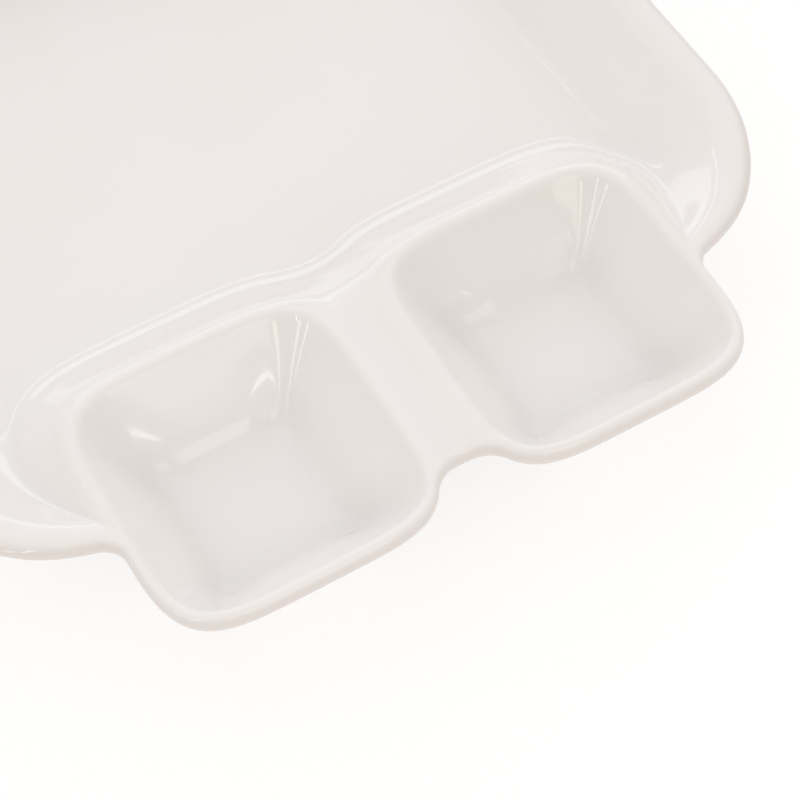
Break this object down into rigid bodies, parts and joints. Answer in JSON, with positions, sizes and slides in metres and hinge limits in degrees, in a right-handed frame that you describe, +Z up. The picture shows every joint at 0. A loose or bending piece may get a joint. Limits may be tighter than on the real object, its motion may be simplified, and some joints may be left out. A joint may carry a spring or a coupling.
{
  "type": "chip and dip server",
  "caption": "One-piece glazed ceramic serving dish: a wide rounded-rectangle tray with a rolled rim, and square dip wells set side by side into its front edge.",
  "frame": {"origin": "on the table, under the middle of the dish's outline box", "axes": "+Z up; +Y from the dip wells at the front towards the back of the tray; +X to the right seen from the wells"},
  "size_m": [0.304, 0.305, 0.036],
  "materials": {
    "white_glaze": "glossy warm-white glaze",
    "bare_ceramic": "unglazed, wiped and sanded foot"
  },
  "bodies": {
    "root": {"chip_tray": "white_glaze", "left_dip_well": "white_glaze", "right_dip_well": "white_glaze", "well_bridge": "white_glaze", "tray_foot_ring": "bare_ceramic", "left_well_foot": "bare_ceramic", "right_well_foot": "bare_ceramic"}
  },
  "joints": []
}
